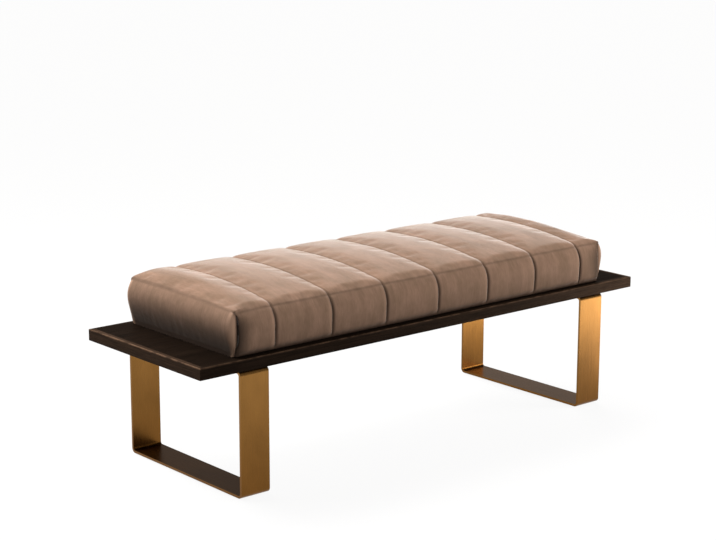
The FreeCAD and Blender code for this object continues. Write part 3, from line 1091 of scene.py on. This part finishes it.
class FOOTSTOOL_OT_fixings(bpy.types.Operator):
    """Finish the screws in steel and the seat board in plywood"""

    bl_idname = "footstool.fixings"
    bl_label = "Screws and board"

    def execute(self, context):
        colours = context.scene.footstool_colours
        finish_nodes(SCREWS, steel_material(colours))
        finish_nodes(["seat_board"], plywood_material(colours))
        return {"FINISHED"}


def seen_directly(tree):
    """1 for rays from the camera, a reflection or glass, and 0 for the rays that light the object."""
    ray = tree.nodes.new("ShaderNodeLightPath").outputs
    mirrored = add_math(tree, "MAXIMUM", ray["Is Glossy Ray"], ray["Is Transmission Ray"])
    return add_math(tree, "MAXIMUM", ray["Is Camera Ray"], mirrored)


def floor_material(share):
    """A pale matt floor that keeps its shadow, with a share of plain white where it is seen."""
    inputs = {"Base Color": colour((0.16, 0.16, 0.16)), "Roughness": 0.9, "Specular IOR Level": 0.0}
    material, tree, shader = new_material("pale_floor", inputs)
    white = add_node(tree, "ShaderNodeEmission", {"Color": (1.0, 1.0, 1.0, 1.0), "Strength": 2.0})
    factor = add_math(tree, "MULTIPLY", seen_directly(tree), share)
    mixed = add_node(tree, "ShaderNodeMixShader", {0: factor, 1: shader.outputs[0], 2: white.outputs[0]})
    output = next(node for node in tree.nodes if node.type == "OUTPUT_MATERIAL")
    tree.links.new(mixed.outputs[0], output.inputs["Surface"])
    return material


def studio_world(strength):
    """Plain light from all round."""
    world = bpy.data.worlds.new("studio")
    world.use_nodes = True
    tree = world.node_tree
    tree.nodes.clear()
    warm = (1.0, 0.96, 0.92, 1.0)
    light = add_node(tree, "ShaderNodeBackground", {"Color": warm, "Strength": strength})
    add_node(tree, "ShaderNodeOutputWorld", {"Surface": light.outputs[0]})
    return world


def place_lamp(name, lamp, place, target):
    """Hangs a lamp at a place, facing a target and unseen by the camera, and gives its object."""
    holder = bpy.data.objects.new(name, lamp)
    holder.location = place
    holder.rotation_euler = (Vector(target) - Vector(place)).to_track_quat("-Z", "Y").to_euler()
    holder.visible_camera = False
    bpy.context.scene.collection.objects.link(holder)
    return holder


def sky_lamp(name, place, spread, strength, tint):
    """A broad, even light from the direction of a place, which polished pieces don't mirror."""
    lamp = bpy.data.lights.new(name, "SUN")
    lamp.angle = spread
    lamp.energy = strength
    lamp.color = tint
    place_lamp(name, lamp, place, (0.0, 0.0, 0.0)).visible_glossy = False


def soft_lamp(name, place, target, size, power, tint):
    """A rectangular soft lamp that faces a target; gives its object."""
    lamp = bpy.data.lights.new(name, "AREA")
    lamp.shape = "RECTANGLE"
    lamp.size = size[0]
    lamp.size_y = size[1]
    lamp.energy = power
    lamp.color = tint
    return place_lamp(name, lamp, place, target)


def reflector(name, place, target, size, power, tint):
    """A pale card that only polished pieces mirror."""
    soft_lamp(name, place, target, size, power, tint).visible_diffuse = False


def photo_camera(stage):
    """A camera on a sphere round its target, turned by its roll."""
    round_x = math.cos(stage.azimuth)
    round_y = math.sin(stage.azimuth)
    out = math.cos(stage.elevation)
    back = Vector((round_y * out, -round_x * out, math.sin(stage.elevation)))
    level = Vector((round_x, round_y, 0.0))
    upright = back.cross(level)
    right = level * math.cos(stage.roll) + upright * math.sin(stage.roll)
    up = upright * math.cos(stage.roll) - level * math.sin(stage.roll)
    turn = Matrix((right, up, back)).transposed()
    data = bpy.data.cameras.new("photo_camera")
    data.sensor_fit = "HORIZONTAL"
    data.sensor_width = 36.0
    data.lens = stage.lens
    data.clip_end = 200.0
    camera = bpy.data.objects.new("photo_camera", data)
    place = Vector(stage.target) + back * stage.distance
    camera.matrix_world = Matrix.Translation(place) @ turn.to_4x4()
    bpy.context.scene.collection.objects.link(camera)
    bpy.context.scene.camera = camera


def studio_lamps(stage):
    """A broad light from behind, three soft lamps, and three cards that only the brass mirrors."""
    plain = (1.0, 0.98, 0.96)
    warm = (1.0, 0.92, 0.82)
    front_leg = (0.58, -0.2, 0.15)
    rear_leg = (0.5, 0.19, 0.12)
    sky_lamp(
        "sky_lamp",
        place=(0.6, 2.6, 1.7),
        spread=math.radians(60),
        strength=stage.sky_strength,
        tint=plain,
    )
    side = soft_lamp(
        "side_lamp",
        place=(2.2, -1.7, 0.8),
        target=(0.5, 0.0, 0.3),
        size=(1.2, 0.8),
        power=stage.side_power,
        tint=plain,
    )
    side.visible_glossy = False
    for name, place, target, size, power in (
        ("left_lamp", (-1.5, 1.2, 2.4), (-0.6, 0.0, 0.4), (1.2, 1.2), stage.left_power),
        ("front_lamp", (-0.8, -2.8, 1.8), (-0.1, 0.0, 0.35), (2.0, 1.2), stage.front_power),
    ):
        soft_lamp(name, place, target, size, power, plain)
    for name, place, target, size, share in (
        ("front_card", (1.2, -0.72, 0.15), front_leg, (1.2, 0.5), 1.0),
        ("near_card", (0.95, -0.28, 0.12), rear_leg, (0.35, 0.24), 0.25),
        ("rear_card", (2.4, 1.7, 0.7), front_leg, (0.8, 0.6), 0.12),
    ):
        reflector(name, place, target, size, share * stage.card_power, warm)


class FOOTSTOOL_OT_stage(bpy.types.Operator):
    """Set up the floor, the soft studio light and the camera"""

    bl_idname = "footstool.stage"
    bl_label = "Studio stage"

    def execute(self, context):
        scene = context.scene
        stage = scene.footstool_stage
        reach = 60.0
        level = -0.0003
        turns = ((-1, -1), (1, -1), (1, 1), (-1, 1))
        corners = np.array([[x * reach, y * reach, level] for x, y in turns])
        white = floor_material(stage.backdrop_share)
        floor = mesh_piece("studio_floor", corners, np.array([[0, 1, 2, 3]]), white)
        scene.world = studio_world(stage.fill_light)
        studio_lamps(stage)
        photo_camera(stage)
        scene.view_settings.view_transform = "Standard"
        return {"FINISHED"}


class FOOTSTOOL_PT_panel(bpy.types.Panel):
    """The footstool's steps and sizes"""

    bl_idname = "FOOTSTOOL_PT_panel"
    bl_label = "Padded footstool"
    bl_space_type = "VIEW_3D"
    bl_region_type = "UI"
    bl_category = "Footstool"

    def draw(self, context):
        layout = self.layout
        for operator in OPERATORS:
            layout.operator(operator.bl_idname)
        for group in (
            context.scene.footstool_seat,
            context.scene.footstool_colours,
            context.scene.footstool_stage,
        ):
            column = layout.box().column()
            for name in group.bl_rna.properties.keys():
                if name not in ("rna_type", "name"):
                    column.prop(group, name)


OPERATORS = (
    FOOTSTOOL_OT_quilted_seat,
    FOOTSTOOL_OT_platform,
    FOOTSTOOL_OT_legs,
    FOOTSTOOL_OT_fixings,
    FOOTSTOOL_OT_stage,
)
CLASSES = (SeatSizes, FinishColours, StageSizes, *OPERATORS, FOOTSTOOL_PT_panel)


def register():
    """Register the classes and hang the settings on the scene."""
    for entry in CLASSES:
        bpy.utils.register_class(entry)
    bpy.types.Scene.footstool_seat = PointerProperty(type=SeatSizes)
    bpy.types.Scene.footstool_colours = PointerProperty(type=FinishColours)
    bpy.types.Scene.footstool_stage = PointerProperty(type=StageSizes)


def unregister():
    """Take the settings and the classes away again."""
    del bpy.types.Scene.footstool_stage
    del bpy.types.Scene.footstool_colours
    del bpy.types.Scene.footstool_seat
    for entry in reversed(CLASSES):
        bpy.utils.unregister_class(entry)


def main():
    """Dress the footstool."""
    register()
    bpy.ops.footstool.quilted_seat()
    bpy.ops.footstool.platform()
    bpy.ops.footstool.legs()
    bpy.ops.footstool.fixings()
    bpy.ops.footstool.stage()


if __name__ == "__main__":
    main()
